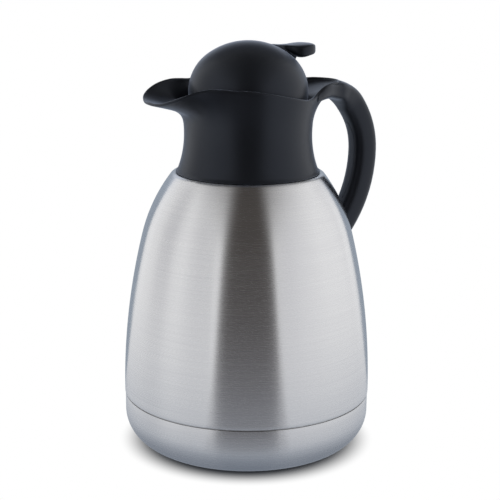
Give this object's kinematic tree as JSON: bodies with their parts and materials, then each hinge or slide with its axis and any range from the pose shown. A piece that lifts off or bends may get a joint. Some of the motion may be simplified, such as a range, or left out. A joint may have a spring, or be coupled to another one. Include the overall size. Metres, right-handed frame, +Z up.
{
  "type": "vacuum coffee carafe",
  "caption": "Double-walled steel coffee carafe with a black pouring collar, loop handle and screw-in dome stopper whose thumb lever lifts a sprung pouring valve.",
  "frame": {"origin": "middle of the base pad's underside, on the axis of the round body", "axes": "+Z up the body's axis, +X towards the handle, -X towards the spout"},
  "size_m": [0.1552, 0.145, 0.2373],
  "materials": {
    "brushed_steel": "fine brushing round the body",
    "bare_steel": "plain drawn sheet",
    "small_steel": "bright turned",
    "black_plastic": "fine matt grain",
    "grip_inlay": "soft matt",
    "inner_plastic": "plain moulded",
    "silicone": "smooth moulded",
    "pad_rubber": "matt"
  },
  "bodies": {
    "carafe": {"outer_shell": "brushed_steel", "inner_liner": "bare_steel", "liner_shoulder": "bare_steel", "liner_bottom": "bare_steel", "vacuum_bottom": "bare_steel", "getter_pill": "small_steel", "vacuum_seal_button": "small_steel", "base_cup": "brushed_steel", "base_pad": "pad_rubber", "spout_collar": "black_plastic", "neck_gasket": "silicone", "neck_ring": "inner_plastic", "handle_grip": "black_plastic", "handle_inlay": "grip_inlay", "handle_bracket": "bare_steel", "handle_foot_screw": "small_steel", "handle_root_screws": "small_steel"},
    "stopper_seal": {"stopper_gasket": "silicone"},
    "stopper": {"stopper_dome": "black_plastic", "stopper_plug": "inner_plastic", "guide_plate": "inner_plastic", "dome_screws": "small_steel", "lever_pin": "small_steel", "return_spring": "small_steel"},
    "lever": {"thumb_lever": "black_plastic"},
    "valve": {"valve_stem": "small_steel", "stem_cap": "inner_plastic", "valve_seal": "silicone", "valve_disc": "inner_plastic", "valve_nut": "small_steel"}
  },
  "joints": [
    {"name": "stopper_lift", "type": "slide", "parent": "carafe", "child": "stopper_seal", "axis": [0, 0, 1], "range_m": [0, 0.054]},
    {"name": "stopper_turn", "type": "hinge", "parent": "stopper_seal", "child": "stopper", "pos_m": [0, 0, 0.18], "axis": [0, 0, 1], "range_deg": [0, 1080]},
    {"name": "lever_press", "type": "hinge", "parent": "stopper", "child": "lever", "pos_m": [0.022, 0, 0.224], "axis": [0, 1, 0], "range_deg": [0, 15]},
    {"name": "valve_lift", "type": "slide", "parent": "stopper", "child": "valve", "axis": [0, 0, 1], "range_m": [0, 0.0066], "stiffness_N_per_m": 150, "springref_m": -0.008, "deforming": ["return_spring"]}
  ],
  "couplings": [
    {"joint": "stopper_turn", "follows": "stopper_lift", "rad_per_m": 349.06},
    {"joint": "lever_press", "follows": "valve_lift", "rad_per_m": 39.2}
  ]
}
